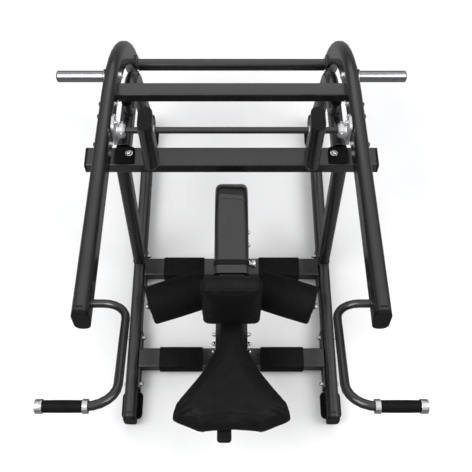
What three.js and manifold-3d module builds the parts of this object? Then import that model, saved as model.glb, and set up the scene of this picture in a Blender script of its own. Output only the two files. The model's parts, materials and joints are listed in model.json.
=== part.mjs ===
// Plate-loaded press and pull-down station: a floor frame with a saddle, a chest pad and thigh
// rollers, and a long two-armed lever that turns on a shaft over the top crossbar.
// Millimetres, +Z up, X across the machine, +Y towards the plate-horn end.
import * as THREE from 'three';
import { mergeVertices } from 'three/addons/utils/BufferGeometryUtils.js';
import Module from 'manifold-3d';

const wasm = await Module();
wasm.setup();

// ---- driving dimensions ----
const GAP = 0.3;                 // running gap between neighbouring pieces
const WALL = 4;                  // steel tube wall
const BITE = 20;                 // how far a tube is drawn past the face that trims it
const FLATS = 16;                // flats round a turned piece
const WIDE_FLATS = 24;           // flats round the horns and rollers
const BEND_STEPS = 6;            // straight steps in a tube bend, and per side of a round bar
const CORNER_STEPS = 2;          // straight steps in a rounded corner
const HALF_LENGTH = 1082;        // grips' front to rails' rear, halved
const CORNER = { rail: 22, flat: 10, leg: 24, post: 29, arm: 28, beam: 24, square: 8 };
const CAP = { rail: 12, flat: 10, arm: 14, post: 8 };    // thickness of the moulded end caps

const FOOT = { width: 100, length: 134, height: 10, fromFront: 83, fromRear: 90 };
const RAIL = { x: 485, width: 60, height: 100, front: -722 };
const RAIL_TOP = FOOT.height + RAIL.height;
const CROSS = { width: 100, height: 60, frontY: -429, rearY: 72 };   // crossbars, lying flat
const SLEEVE = { inner: 142, outer: 354, thick: 6, corner: 16 };

const TOP_BAR = { y: 212, bottom: 845, halfLength: 636 };
const TOP_BAR_TOP = TOP_BAR.bottom + CROSS.height;
const UPRIGHT = { footY: 126, topY: 210, depth: 88 };
const LEG = { x: 480, bendY: 760, bendZ: 830, footY: 985, radius: 200, depth: 96 };
const STOP = { x: 466, flange: 26, flangeThick: 8, stem: 15, head: 24, headHeight: 40, chamfer: 6 };

const PIVOT = { y: 196, z: 1110 };
const SHAFT_R = 14;
const BUSH = { radius: 22, lip: 4 };
const BUSH_BORE = (SHAFT_R + GAP) / Math.cos(Math.PI / FLATS);
const POST = { x: 353, top: 1190, width: 60, depth: 120 };
const HUB = { height: 130, depth: 76, corner: 20, plate: 14, boss: 32, bossLength: 38 };

const ARM = { x: 523, width: 60, depth: 120, tipY: -677, tipZ: 1188, bendY: 831, bendZ: 1060 };
const ARM_END = { y: 1010, z: 618 };
const ARM_BEND = { radius: 760, steps: 10 };
const ARM_SLOPE = (ARM.bendZ - ARM.tipZ) / (ARM.bendY - ARM.tipY);
const ARM_INNER = ARM.x - ARM.width / 2;
const TIE = { y: 440, z: 1062, width: 70, height: 50 };   // crossbar between the arms
const END_TIE = { y: 951, z: 676, radius: 30 };           // round tube between the arms' rear ends
const HORN = { y: 508, length: 210, radius: 25, flange: 32, flangeThick: 6, chamfer: 3 };

const HANDLE = { rod: 15, rootY: -622, inX: 367, gripInX: 342, gripY: -1060, gripZ: 1421, bend: 88 };
const ROD_END = 566;
const GRIP = { start: 440, end: 557, radius: 19 };
const GRIP_CAP = { end: 580, radius: 22, chamfer: 3 };

const BEAM = { width: 140, height: 90, top: 930, front: -335, footY: 72, rearY: 99, radius: 150 };
const BEAM_Z = BEAM.top - BEAM.height / 2;
const PAD = { width: 256, front: -459, thick: 80, bottom: 580, top: 932, corner: 26 };
const PAD_BACK = PAD.front + PAD.thick;
const PAD_TUBE = { play: 2, corner: 18, length: 215 };   // slides inside the centre frame
const PAD_BLOCK = { width: 146, play: 2 };
const PAD_PLATE = { width: 120, height: 310, corner: 22, thick: 10 };
const PIN = { barrel: 14, barrelEnd: 10, neck: 8, knobStart: 12, knob: 21, knobEnd: 26, end: 28 };
const PIN_SET_BACK = 24;         // pin axis behind the centre frame's front end

const ROLLER = { z: 575, radius: 88, inner: 121, outer: 362, sweep: 19, rod: 15, play: 0.5, edge: 8 };
const SWEEP = THREE.MathUtils.degToRad(ROLLER.sweep);
const ROD_BEYOND = 8;            // rod end past the roller
const DROP = { y: -236, width: 60, bottom: 540 };

const COLUMN = { width: 80, top: 395, play: 0.6 };
const CARRIAGE = { outer: 104, bottom: 300, top: 440 };
const SEAT_ARM = { width: 60, depth: 48, reach: 350 };
const SEAT_BOARD = { width: 120, ahead: 10, length: 180 };
const SEAT_PLATE = { inner: 50, outer: 72, ahead: 90, depth: 90 };
const SADDLE = { bottom: 462, top: 545, smoothness: 52 };
const LEVER = { x: -31, width: 62, front: -919, rear: -846, z: 412, thick: 22, corner: 12 };

// ---- materials ----
function material(color, roughness, metalness) {
  return new THREE.MeshStandardMaterial({ color, roughness, metalness });
}
const black = () => material(0x1c1c1e, 0.35, 0.6);
const rubber = () => material(0x0e0e0f, 0.8, 0);
const vinyl = () => material(0x161617, 0.6, 0);
const chrome = () => material(0xc9cacd, 0.15, 1);
const zinc = () => material(0xdcdde0, 0.4, 0.7);

// ---- geometry helpers ----
// A polyline that an extrusion follows corner by corner, with a mitred section at each point.
class Polyline extends THREE.Curve {
  constructor(points) {
    super();
    this.points = points;
  }

  getSpacedPoints() {
    return this.points.map((p) => p.clone());
  }

  getTangentAt(u) {
    const last = this.points.length - 1;
    const i = Math.round(u * last);
    const before = this.points[Math.max(i - 1, 0)];
    const here = this.points[i];
    const after = this.points[Math.min(i + 1, last)];
    const incoming = here.clone().sub(before).normalize();
    const outgoing = after.clone().sub(here).normalize();
    return incoming.add(outgoing).normalize();
  }

  // The section's x axis starts across the machine, or upright on a bar that runs across it,
  // and is carried along the bends without twisting.
  computeFrenetFrames(segments) {
    const frames = { tangents: [], normals: [], binormals: [] };
    let carried = null;
    for (let i = 0; i <= segments; i++) {
      const tangent = this.getTangentAt(i / segments);
      if (carried === null) {
        const start = Math.abs(tangent.x) > Math.SQRT1_2 ? at(0, 0, 1) : at(1, 0, 0);
        carried = start.addScaledVector(tangent, -start.dot(tangent)).normalize();
      } else {
        const turn = new THREE.Quaternion().setFromUnitVectors(frames.tangents[i - 1], tangent);
        carried = carried.clone().applyQuaternion(turn);
      }
      frames.tangents.push(tangent);
      frames.normals.push(carried.clone());
      frames.binormals.push(tangent.clone().cross(carried));
    }
    return frames;
  }
}

// Corner points joined by straight lines, with each inner corner rounded to radius.
function rounded(corners, radius, steps = BEND_STEPS) {
  const points = [corners[0]];
  for (let i = 1; i < corners.length - 1; i++) {
    const into = corners[i].clone().sub(corners[i - 1]).normalize();
    const out = corners[i + 1].clone().sub(corners[i]).normalize();
    const half = into.angleTo(out) / 2;
    const reach = radius * Math.tan(half);
    const start = corners[i].clone().addScaledVector(into, -reach);
    const inward = out.clone().sub(into).normalize();
    const centre = corners[i].clone().addScaledVector(inward, radius / Math.cos(half));
    const axis = into.clone().cross(out).normalize();
    for (let k = 0; k <= steps; k++) {
      const spoke = start.clone().sub(centre).applyAxisAngle(axis, (2 * half * k) / steps);
      points.push(centre.clone().add(spoke));
    }
  }
  points.push(corners[corners.length - 1]);
  return points;
}

function roundedRect(width, height, radius, into = new THREE.Shape()) {
  const w = width / 2 - radius;
  const h = height / 2 - radius;
  into.absarc(w, h, radius, 0, Math.PI / 2);
  into.absarc(-w, h, radius, Math.PI / 2, Math.PI);
  into.absarc(-w, -h, radius, Math.PI, Math.PI * 1.5);
  into.absarc(w, -h, radius, Math.PI * 1.5, Math.PI * 2);
  into.closePath();
  return into;
}

// The inside of a tube: a rectangle with its corners cut off, which is never seen.
function chamferedRect(width, height, chamfer) {
  const [w, h] = [width / 2, height / 2];
  const corners = [[w - chamfer, h], [chamfer - w, h], [-w, h - chamfer], [-w, chamfer - h]];
  corners.push([chamfer - w, -h], [w - chamfer, -h], [w, chamfer - h], [w, h - chamfer]);
  return new THREE.Path(corners.map(([x, y]) => new THREE.Vector2(x, y)));
}

// A tube section: rounded rectangle with a wall, or solid when wall is 0.
function section(width, height, radius, wall = WALL) {
  const shape = roundedRect(width, height, radius);
  if (wall > 0) {
    shape.holes.push(chamferedRect(width - 2 * wall, height - 2 * wall, radius / 2));
  }
  return shape;
}

function sweep(shape, points, segments = CORNER_STEPS) {
  const options = { steps: points.length - 1, extrudePath: new Polyline(points), curveSegments: segments };
  return new THREE.ExtrudeGeometry(shape, options);
}

function at(x, y, z) {
  return new THREE.Vector3(x, y, z);
}

// A section swept straight from a to b.
function bar(shape, a, b, segments) {
  return sweep(shape, [a, b], segments);
}

// A turned piece on the X axis: profile is [radius, x] pairs.
function turnedX(profile, segments = FLATS) {
  const points = profile.map(([r, x]) => new THREE.Vector2(r, x));
  return new THREE.LatheGeometry(points, segments).rotateZ(-Math.PI / 2);
}

function sleeveX(inner, outer, x0, x1) {
  const [a, b] = x0 < x1 ? [x0, x1] : [x1, x0];
  return turnedX([[inner, a], [outer, a], [outer, b], [inner, b], [inner, a]]);
}

function rodX(radius, x0, x1) {
  const [a, b] = x0 < x1 ? [x0, x1] : [x1, x0];
  return turnedX([[0, a], [radius, a], [radius, b], [0, b]]);
}

// A profile drawn for the right side, mirrored for the left, in the order a lathe needs.
function sided(profile, side) {
  const points = profile.map(([r, x]) => [r, side * x]);
  return side > 0 ? points : points.reverse();
}

// A turned piece on the Z axis: profile is [radius, z] pairs, from the axis to the axis.
function turnedZ(profile) {
  const points = profile.map(([r, z]) => new THREE.Vector2(r, z));
  return new THREE.LatheGeometry(points, FLATS).rotateX(Math.PI / 2);
}

// A plate or cushion with rounded corners, facing the user: centre x and z, rear face y.
function slab(width, height, corner, thick, rearY, z) {
  const options = { depth: thick, bevelEnabled: false, curveSegments: CORNER_STEPS };
  const form = new THREE.ExtrudeGeometry(roundedRect(width, height, corner), options);
  return form.rotateX(Math.PI / 2).translate(0, rearY, z);
}

function block(x0, x1, y0, y1, z0, z1) {
  const box = new THREE.BoxGeometry(Math.abs(x1 - x0), Math.abs(y1 - y0), Math.abs(z1 - z0));
  return box.translate((x0 + x1) / 2, (y0 + y1) / 2, (z0 + z1) / 2);
}

function disc(radius) {
  return new THREE.Shape().absarc(0, 0, radius, 0, Math.PI * 2);
}

function toSolid(geometry) {
  const bare = geometry.clone();
  bare.deleteAttribute('normal');
  bare.deleteAttribute('uv');
  const merged = mergeVertices(bare, 1e-3);
  const vertProperties = new Float32Array(merged.attributes.position.array);
  const triVerts = new Uint32Array(merged.index.array);
  return new wasm.Manifold(new wasm.Mesh({ numProp: 3, vertProperties, triVerts }));
}

function fromSolid(solid) {
  const mesh = solid.getMesh();
  const geometry = new THREE.BufferGeometry();
  geometry.setAttribute('position', new THREE.BufferAttribute(mesh.vertProperties, 3));
  geometry.setIndex(new THREE.BufferAttribute(mesh.triVerts, 1));
  geometry.computeVertexNormals();
  return geometry;
}

function join(...geometries) {
  return fromSolid(geometries.map(toSolid).reduce((a, b) => a.add(b)));
}

function cut(geometry, ...tools) {
  return fromSolid(tools.map(toSolid).reduce((a, b) => a.subtract(b), toSolid(geometry)));
}

const group = new THREE.Group();

function add(name, geometry, look) {
  const mesh = new THREE.Mesh(geometry, look);
  mesh.name = name;
  group.add(mesh);
}

// Runs make(side, label) for the left (-1) and the right (+1) side.
function bothSides(make) {
  make(-1, 'left');
  make(1, 'right');
}

// ---- floor frame ----
const railSection = (wall) => section(RAIL.width, RAIL.height, CORNER.rail, wall);
const flatSection = (wall) => section(CROSS.height, CROSS.width, CORNER.flat, wall);
const SOLID = 0;                 // wall of a section without a hollow

function floorRail(side, label) {
  const x = side * RAIL.x;
  const z = FOOT.height + RAIL.height / 2;
  const rear = HALF_LENGTH - CAP.rail;
  add(`rail_${label}`, bar(railSection(), at(x, RAIL.front, z), at(x, rear, z)), black());
  const caps = { front: [RAIL.front - CAP.rail, RAIL.front - GAP], rear: [rear + GAP, HALF_LENGTH] };
  for (const [place, [start, end]] of Object.entries(caps)) {
    const cap = bar(railSection(SOLID), at(x, start, z), at(x, end, z));
    add(`rail_cap_${place}_${label}`, cap, rubber());
  }
  const feet = { front: RAIL.front + FOOT.fromFront, rear: HALF_LENGTH - FOOT.fromRear };
  const halfWidth = FOOT.width / 2;
  const halfLength = FOOT.length / 2;
  for (const [place, y] of Object.entries(feet)) {
    const foot = block(x - halfWidth, x + halfWidth, y - halfLength, y + halfLength, 0, FOOT.height - GAP);
    add(`foot_${place}_${label}`, foot, rubber());
  }
}

function floorCrossbar(place, y) {
  const end = RAIL.x - RAIL.width / 2 - GAP;
  const z = RAIL_TOP - CROSS.height / 2;
  add(`floor_crossbar_${place}`, bar(flatSection(), at(-end, y, z), at(end, y, z)), black());
  bothSides((side, label) => {
    const grow = 2 * SLEEVE.thick;
    const shape = roundedRect(CROSS.height + grow, CROSS.width + grow, SLEEVE.corner);
    const fit = 2 * GAP;
    shape.holes.push(roundedRect(CROSS.height + fit, CROSS.width + fit, CORNER.flat, new THREE.Path()));
    const ends = [side * SLEEVE.inner, side * SLEEVE.outer].sort((a, b) => a - b);
    add(`foot_sleeve_${place}_${label}`, bar(shape, at(ends[0], y, z), at(ends[1], y, z)), rubber());
  });
}

// Each upright leans back from the floor rail to the top crossbar and is trimmed flat on both.
function upright(side, label) {
  const x = side * RAIL.x;
  const slant = (UPRIGHT.topY - UPRIGHT.footY) / (TOP_BAR.bottom - RAIL_TOP);
  const low = at(x, UPRIGHT.footY - slant * BITE, RAIL_TOP - BITE);
  const high = at(x, UPRIGHT.topY + slant * BITE, TOP_BAR.bottom + BITE);
  const tube = bar(section(RAIL.width, UPRIGHT.depth, CORNER.leg), low, high);
  const reach = UPRIGHT.depth;
  const front = UPRIGHT.footY - reach;
  const back = UPRIGHT.topY + reach;
  const under = block(x - reach, x + reach, front, back, RAIL_TOP - reach, RAIL_TOP + GAP);
  const over = block(x - reach, x + reach, front, back, TOP_BAR.bottom - GAP, TOP_BAR.bottom + reach);
  add(`upright_${label}`, cut(tube, under, over), black());
}

function topCrossbar() {
  const y = TOP_BAR.y;
  const z = TOP_BAR.bottom + CROSS.height / 2;
  const end = TOP_BAR.halfLength;
  add('top_crossbar', bar(flatSection(), at(-end, y, z), at(end, y, z)), black());
  bothSides((side, label) => {
    const ends = [side * (end + GAP), side * (end + CAP.flat)].sort((a, b) => a - b);
    const cap = bar(flatSection(SOLID), at(ends[0], y, z), at(ends[1], y, z));
    add(`top_crossbar_cap_${label}`, cap, rubber());
  });
}

// The rear leg leaves the top crossbar backwards, bends and runs down to the rail.
// The stop on it holds up the lever's crossbar when the lever is at rest.
function rearLeg(side, label) {
  const x = side * LEG.x;
  const startY = TOP_BAR.y + CROSS.width / 2;
  const startZ = TOP_BAR.bottom + CROSS.height / 2;
  const corners = [
    at(x, startY - BITE, startZ),
    at(x, LEG.bendY, LEG.bendZ),
    at(x, LEG.footY, RAIL_TOP - BITE),
  ];
  const tube = sweep(section(RAIL.width, LEG.depth, CORNER.leg), rounded(corners, LEG.radius));
  const reach = LEG.depth;
  const ahead = block(x - reach, x + reach, 0, startY + GAP, TOP_BAR.bottom - reach, TOP_BAR_TOP + reach);
  const footFront = LEG.footY - 2 * reach;
  const footBack = LEG.footY + 2 * reach;
  const under = block(x - reach, x + reach, footFront, footBack, -reach, RAIL_TOP + GAP);
  add(`rear_leg_${label}`, cut(tube, ahead, under), black());
  restStop(side, label, startZ + LEG.depth / 2);
}

function restStop(side, label, base) {
  const top = TIE.z - TIE.height / 2 - GAP;
  const neck = top - STOP.headHeight;
  const profile = [[0, base], [STOP.flange, base], [STOP.flange, base + STOP.flangeThick]];
  profile.push([STOP.stem, base + STOP.flangeThick + STOP.chamfer], [STOP.stem, neck - STOP.chamfer]);
  profile.push([STOP.head, neck], [STOP.head, top - STOP.chamfer], [STOP.head - STOP.chamfer, top], [0, top]);
  add(`rest_stop_${label}`, turnedZ(profile).translate(side * STOP.x, TIE.y, 0), rubber());
}

// ---- pivot ----
function pivotPost(side, label) {
  const x = side * POST.x;
  const capBottom = POST.top - CAP.post;
  const post = section(POST.width, POST.depth, CORNER.post);
  const tube = bar(post, at(x, PIVOT.y, TOP_BAR_TOP + GAP), at(x, PIVOT.y, capBottom));
  const hole = rodX(BUSH.radius + GAP, x - POST.width, x + POST.width).translate(0, PIVOT.y, PIVOT.z);
  add(`pivot_post_${label}`, cut(tube, hole), black());
  const lid = section(POST.width, POST.depth, CORNER.post, SOLID);
  const cap = bar(lid, at(x, PIVOT.y, capBottom + GAP), at(x, PIVOT.y, POST.top));
  add(`pivot_post_cap_${label}`, cap, rubber());
  const reach = POST.width / 2 + BUSH.lip;
  const bush = sleeveX(BUSH_BORE, BUSH.radius, x - reach, x + reach);
  add(`pivot_bush_${label}`, bush.translate(0, PIVOT.y, PIVOT.z), zinc());
}

// ---- lever: arms, ties, horns, handles ----
const armZ = (y) => ARM.tipZ + ARM_SLOPE * (y - ARM.tipY);

function arm(side, label) {
  const x = side * ARM.x;
  const tip = at(x, ARM.tipY, ARM.tipZ);
  const bend = at(x, ARM.bendY, ARM.bendZ);
  const shape = section(ARM.width, ARM.depth, CORNER.arm);
  const end = at(x, ARM_END.y, ARM_END.z);
  const path = rounded([tip, bend, end], ARM_BEND.radius, ARM_BEND.steps);
  add(`arm_${label}`, sweep(shape, path), black());
  const along = bend.clone().sub(tip).normalize();
  const capEnd = tip.clone().addScaledVector(along, -GAP);
  const capStart = tip.clone().addScaledVector(along, -CAP.arm);
  const lid = section(ARM.width, ARM.depth, CORNER.arm, SOLID);
  add(`arm_cap_${label}`, bar(lid, capStart, capEnd), rubber());
}

// A plated hub clamps the shaft to the inner face of each arm.
function hub(side, label) {
  const face = side * (ARM_INNER - GAP);
  const inside = face - side * HUB.plate;
  const tip = inside - side * HUB.bossLength;
  const ends = [inside, face].sort((a, b) => a - b);
  const plate = section(HUB.height, HUB.depth, HUB.corner, SOLID);
  const flange = bar(plate, at(ends[0], PIVOT.y, PIVOT.z), at(ends[1], PIVOT.y, PIVOT.z));
  const boss = rodX(HUB.boss, tip, inside + side * WALL).translate(0, PIVOT.y, PIVOT.z);
  const bore = rodX(SHAFT_R + GAP, tip - side * BITE, face + side * BITE);
  const hollow = bore.translate(0, PIVOT.y, PIVOT.z);
  add(`arm_hub_${label}`, cut(join(flange, boss), hollow), zinc());
}

function leverTies() {
  const end = ARM_INNER - GAP;
  const tie = section(TIE.height, TIE.width, CORNER.square);
  add('lever_crossbar', bar(tie, at(-end, TIE.y, TIE.z), at(end, TIE.y, TIE.z)), black());
  const round = sleeveX(END_TIE.radius - WALL, END_TIE.radius, -end, end);
  add('lever_end_tube', round.translate(0, END_TIE.y, END_TIE.z), black());
  const shaft = rodX(SHAFT_R, -end, end);
  add('pivot_shaft', shaft.translate(0, PIVOT.y, PIVOT.z), black());
}

function horn(side, label) {
  const start = ARM.x + ARM.width / 2 + GAP;
  const shoulder = start + HORN.flangeThick;
  const end = start + HORN.length;
  const profile = [[0, start], [HORN.flange, start], [HORN.flange, shoulder], [HORN.radius, shoulder]];
  profile.push([HORN.radius, end - HORN.chamfer], [HORN.radius - HORN.chamfer, end], [0, end]);
  const form = turnedX(sided(profile, side), WIDE_FLATS);
  add(`plate_horn_${label}`, form.translate(0, HORN.y, armZ(HORN.y)), chrome());
}

function handle(side, label) {
  const rootZ = armZ(HANDLE.rootY);
  const corners = [
    at(side * (ARM_INNER - GAP), HANDLE.rootY, rootZ),
    at(side * HANDLE.inX, HANDLE.rootY, rootZ),
    at(side * HANDLE.gripInX, HANDLE.gripY, HANDLE.gripZ),
    at(side * ROD_END, HANDLE.gripY, HANDLE.gripZ),
  ];
  add(`handle_${label}`, sweep(disc(HANDLE.rod), rounded(corners, HANDLE.bend), BEND_STEPS), black());
  const bore = HANDLE.rod + GAP;
  const grip = sleeveX(bore, GRIP.radius, side * GRIP.start, side * GRIP.end);
  add(`grip_${label}`, grip.translate(0, HANDLE.gripY, HANDLE.gripZ), rubber());
  const open = GRIP.end + GAP;
  const floor = ROD_END + GAP;
  const rim = GRIP_CAP.end - GRIP_CAP.chamfer;
  const cup = [[bore, open], [GRIP_CAP.radius, open], [GRIP_CAP.radius, rim]];
  cup.push([GRIP_CAP.radius - GRIP_CAP.chamfer, GRIP_CAP.end], [0, GRIP_CAP.end]);
  cup.push([0, floor], [bore, floor], [bore, open]);
  const cap = turnedX(sided(cup, side));
  add(`grip_cap_${label}`, cap.translate(0, HANDLE.gripY, HANDLE.gripZ), chrome());
}

// ---- centre frame, chest pad and rollers ----
// The centre frame rises from the rear floor crossbar, leaning back, and bends over the seat.
function centreFrame() {
  const corners = [
    at(0, BEAM.footY, RAIL_TOP - BITE),
    at(0, BEAM.rearY, BEAM_Z),
    at(0, BEAM.front, BEAM_Z),
  ];
  const path = rounded(corners, BEAM.radius);
  const tube = sweep(section(BEAM.width, BEAM.height, CORNER.beam), path);
  const reach = BEAM.width;
  const under = block(-reach, reach, BEAM.footY - reach, BEAM.footY + reach, 0, RAIL_TOP + GAP);
  add('centre_frame', cut(tube, under), black());
}

// The pad's tube slides in the centre frame and carries a block and a mounting plate.
function chestPad() {
  const within = 2 * (WALL + PAD_TUBE.play);
  const tubeShape = section(BEAM.width - within, BEAM.height - within, PAD_TUBE.corner);
  const front = PAD_BACK + PAD_PLATE.thick / 2;
  const tube = bar(tubeShape, at(0, front, BEAM_Z), at(0, front + PAD_TUBE.length, BEAM_Z));
  const blockShape = section(PAD_BLOCK.width, BEAM.height, CORNER.beam, SOLID);
  const blockEnd = at(0, BEAM.front - PAD_BLOCK.play, BEAM_Z);
  const padBlock = bar(blockShape, at(0, front, BEAM_Z), blockEnd);
  const plateZ = (PAD.bottom + PAD.top) / 2;
  const plateRear = PAD_BACK + PAD_PLATE.thick + GAP;
  const { width, height, corner, thick } = PAD_PLATE;
  const plate = slab(width, height, corner, thick, plateRear, plateZ);
  add('pad_slide', join(tube, padBlock, plate), black());
  const cushion = slab(PAD.width, PAD.top - PAD.bottom, PAD.corner, PAD.thick - GAP, PAD_BACK - GAP, plateZ);
  add('chest_pad', cushion, vinyl());
}

function pullPin() {
  const profile = [[0, 0], [PIN.barrel, 0], [PIN.barrel, PIN.barrelEnd], [PIN.neck, PIN.barrelEnd]];
  profile.push([PIN.neck, PIN.knobStart], [PIN.knob, PIN.knobStart], [PIN.knob, PIN.knobEnd]);
  profile.push([PIN.barrel, PIN.end], [0, PIN.end]);
  const pin = turnedX(profile).translate(BEAM.width / 2 + GAP, BEAM.front + PIN_SET_BACK, BEAM_Z);
  add('pad_pull_pin', pin, chrome());
}

function rollerDirection(side) {
  return at(side * Math.cos(SWEEP), -Math.sin(SWEEP), 0);
}

function rollerBracket() {
  const top = BEAM.top - BEAM.height - GAP;
  const post = section(DROP.width, DROP.width, CORNER.flat, SOLID);
  const drop = bar(post, at(0, DROP.y, DROP.bottom), at(0, DROP.y, top));
  const root = at(0, DROP.y, ROLLER.z);
  const reach = (ROLLER.outer + ROD_BEYOND) / Math.cos(SWEEP);
  const rods = [-1, 1].map((side) => {
    const end = root.clone().addScaledVector(rollerDirection(side), reach);
    return bar(disc(ROLLER.rod), root, end, BEND_STEPS);
  });
  add('roller_bracket', join(drop, ...rods), black());
}

function roller(side, label) {
  const start = ROLLER.inner / Math.cos(SWEEP);
  const end = ROLLER.outer / Math.cos(SWEEP);
  const { radius, edge } = ROLLER;
  const bore = ROLLER.rod + ROLLER.play;
  const profile = [[bore, start], [radius - edge, start], [radius, start + edge], [radius, end - edge]];
  profile.push([radius - edge, end], [bore, end], [bore, start]);
  const foam = turnedX(sided(profile, side), WIDE_FLATS).rotateZ(-side * SWEEP);
  add(`thigh_roller_${label}`, foam.translate(0, DROP.y, ROLLER.z), rubber());
}

// ---- seat ----
function seatColumn() {
  const shape = section(COLUMN.width, COLUMN.width, CORNER.square);
  const y = CROSS.frontY;
  add('seat_column', bar(shape, at(0, y, RAIL_TOP + GAP), at(0, y, COLUMN.top)), black());
}

// Sleeve round the column, arm under the saddle and two side plates.
function seatCarriage() {
  const y = CROSS.frontY;
  const { bottom, top, outer } = CARRIAGE;
  const front = y - outer / 2;
  const rear = y + outer / 2;
  const sleeve = bar(section(outer, outer, CORNER.flat, SOLID), at(0, y, bottom), at(0, y, top));
  const armHalf = SEAT_ARM.width / 2;
  const armFront = front - SEAT_ARM.reach;
  const seatArm = block(-armHalf, armHalf, armFront, front + WALL, top - SEAT_ARM.depth, top);
  const boardHalf = SEAT_BOARD.width / 2;
  const boardFront = armFront - SEAT_BOARD.ahead;
  const boardRear = boardFront + SEAT_BOARD.length;
  const board = block(-boardHalf, boardHalf, boardFront, boardRear, top - WALL, SADDLE.bottom - GAP);
  const plates = [-1, 1].map((s) => {
    const [a, b] = [s * SEAT_PLATE.inner, s * SEAT_PLATE.outer];
    return block(a, b, front - SEAT_PLATE.ahead, rear, top - SEAT_PLATE.depth, top);
  });
  const clear = COLUMN.width / 2 + COLUMN.play;
  const hollow = block(-clear, clear, y - clear, y + clear, bottom - BITE, top + BITE);
  add('seat_carriage', cut(join(sleeve, seatArm, board, ...plates), hollow), black());
}

// The saddle's outline: a narrow neck under the pad, flaring to a wide rear with a shallow notch.
function saddle() {
  const neck = [[30, -400], [54, -410], [60, -440], [63, -482], [72, -528]];
  const flare = [[100, -579], [134, -641], [188, -706], [238, -766], [254, -826]];
  const tail = [[246, -850], [188, -873], [130, -897], [100, -892], [0, -885]];
  const half = [...neck, ...flare, ...tail];
  const right = half.map(([x, y]) => new THREE.Vector2(x, y));
  const left = half.slice(0, -1).reverse().map(([x, y]) => new THREE.Vector2(-x, y));
  const curve = new THREE.SplineCurve([...right, ...left]);
  const outline = new THREE.Shape(curve.getPoints(SADDLE.smoothness));
  const form = new THREE.ExtrudeGeometry(outline, { depth: SADDLE.top - SADDLE.bottom, bevelEnabled: false });
  add('saddle', form.translate(0, 0, SADDLE.bottom), vinyl());
}

function seatLever() {
  const paddle = roundedRect(LEVER.width, LEVER.rear - LEVER.front, LEVER.corner);
  const options = { depth: LEVER.thick, bevelEnabled: false, curveSegments: CORNER_STEPS };
  const form = new THREE.ExtrudeGeometry(paddle, options);
  form.translate(LEVER.x, (LEVER.rear + LEVER.front) / 2, LEVER.z - LEVER.thick / 2);
  add('seat_lever', form, rubber());
}

bothSides(floorRail);
floorCrossbar('front', CROSS.frontY);
floorCrossbar('rear', CROSS.rearY);
bothSides(upright);
topCrossbar();
bothSides(rearLeg);
bothSides(pivotPost);
bothSides(arm);
bothSides(hub);
leverTies();
bothSides(horn);
bothSides(handle);
centreFrame();
chestPad();
pullPin();
rollerBracket();
bothSides(roller);
seatColumn();
seatCarriage();
saddle();
seatLever();

export default group;
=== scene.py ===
"""Looks for the plate-loaded press machine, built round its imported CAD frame. Metres, +Z up."""
import json
import math

import bmesh
import bpy
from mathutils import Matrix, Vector
from mathutils.bvhtree import BVHTree


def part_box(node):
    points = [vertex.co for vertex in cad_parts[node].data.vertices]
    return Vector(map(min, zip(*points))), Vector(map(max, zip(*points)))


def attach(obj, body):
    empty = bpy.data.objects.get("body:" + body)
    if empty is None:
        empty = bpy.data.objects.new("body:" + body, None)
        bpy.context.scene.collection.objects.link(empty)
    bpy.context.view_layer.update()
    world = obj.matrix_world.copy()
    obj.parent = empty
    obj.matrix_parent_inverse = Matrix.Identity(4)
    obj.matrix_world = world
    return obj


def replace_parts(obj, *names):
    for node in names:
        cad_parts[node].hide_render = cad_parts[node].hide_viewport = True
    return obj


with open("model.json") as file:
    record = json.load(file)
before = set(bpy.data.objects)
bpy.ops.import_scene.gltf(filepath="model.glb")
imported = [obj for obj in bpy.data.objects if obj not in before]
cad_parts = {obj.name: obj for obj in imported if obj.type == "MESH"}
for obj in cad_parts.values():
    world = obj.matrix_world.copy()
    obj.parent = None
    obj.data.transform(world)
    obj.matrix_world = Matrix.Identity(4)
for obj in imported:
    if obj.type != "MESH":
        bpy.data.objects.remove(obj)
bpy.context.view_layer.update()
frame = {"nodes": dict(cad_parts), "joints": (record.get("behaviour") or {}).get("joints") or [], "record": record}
nodes = frame["nodes"]
joints = {joint["name"]: joint for joint in frame["joints"]}

MM = 0.001
SIDES = ((-1, "left"), (1, "right"))
X, Y, Z = Vector((1, 0, 0)), Vector((0, 1, 0)), Vector((0, 0, 1))
pivot = Vector(joints["lever_pivot"]["pos_m"])

PAD_BOARD = 14 * MM              # thickness of the chest pad's backing board
SADDLE_HELD = 14 * MM            # how much of the saddle's cover, from below, stays on its board
AXLE_BORE = 15.6                 # mm, radius of the rollers' holes
GRIP_BORE = 15.4                 # mm, radius of the rubber grips' holes
FERRULE_BORE = 15.3              # mm, radius of the holes in the grips' chrome rings and caps
HUB_BORE = 14.4                  # mm, radius of the hubs' holes
ROLLER_EDGE = 14                 # mm, rounding of the rollers' ends
ROLLER_CROWN = 1.5               # mm, how much fuller a roller is in the middle
HUB_BOLT_LIFTS = (-50, 50)       # mm above the pivot
HUB_RIB_LIFTS = (-36, 36)        # mm above the pivot
ARM_BOLT_PLACES = (-92, 62, 132) # mm behind the pivot
ARM_SLOPE = 0.085                # how fast the arm falls towards the rear, near the pivot
STOP_BUFFER = 45                 # mm, height of the rubber buffer on a rest stop
WELD_LIFT = 0.6 * MM             # how far a bead's middle stands off its joint
LUG_X = 470 * MM                 # middle of the lugs on the top crossbar


def box_of(node):
    low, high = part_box(node)
    return low, high, (low + high) / 2


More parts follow.
